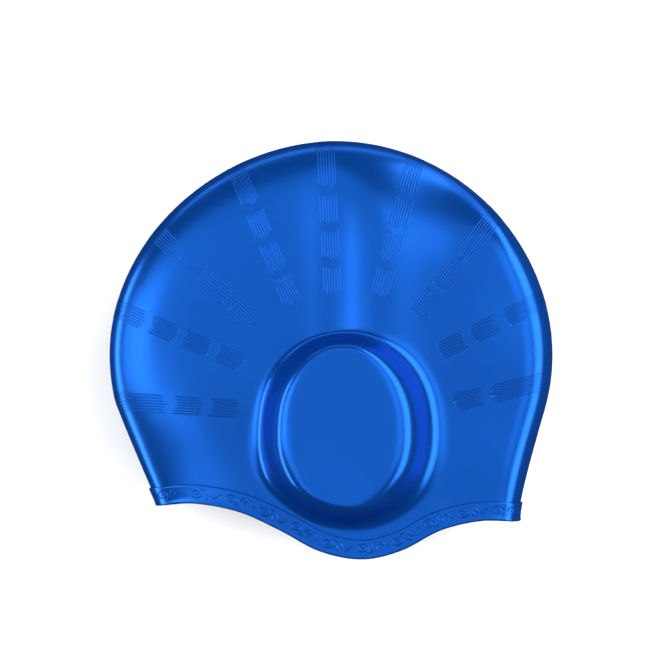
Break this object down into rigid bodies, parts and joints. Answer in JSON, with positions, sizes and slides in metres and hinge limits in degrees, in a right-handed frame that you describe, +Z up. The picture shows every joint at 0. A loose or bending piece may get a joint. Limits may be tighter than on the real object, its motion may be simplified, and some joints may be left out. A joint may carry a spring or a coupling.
{
  "type": "swim cap with ear pockets",
  "caption": "Soft one-piece silicone swim cap with a round crown, an oval ear pocket standing out of each side and a thicker band round its wavy opening.",
  "frame": {"origin": "on the table, under the middle of the cap's outline as it lies on one ear pocket", "axes": "+X from the left fold to the right fold, +Y from the opening towards the crown, +Z up, from one side of the cap to the other"},
  "size_m": [0.2309, 0.217, 0.076],
  "materials": {
    "silicone": "satin gloss, royal blue"
  },
  "bodies": {
    "root": {"swim_cap": "silicone"}
  },
  "joints": []
}
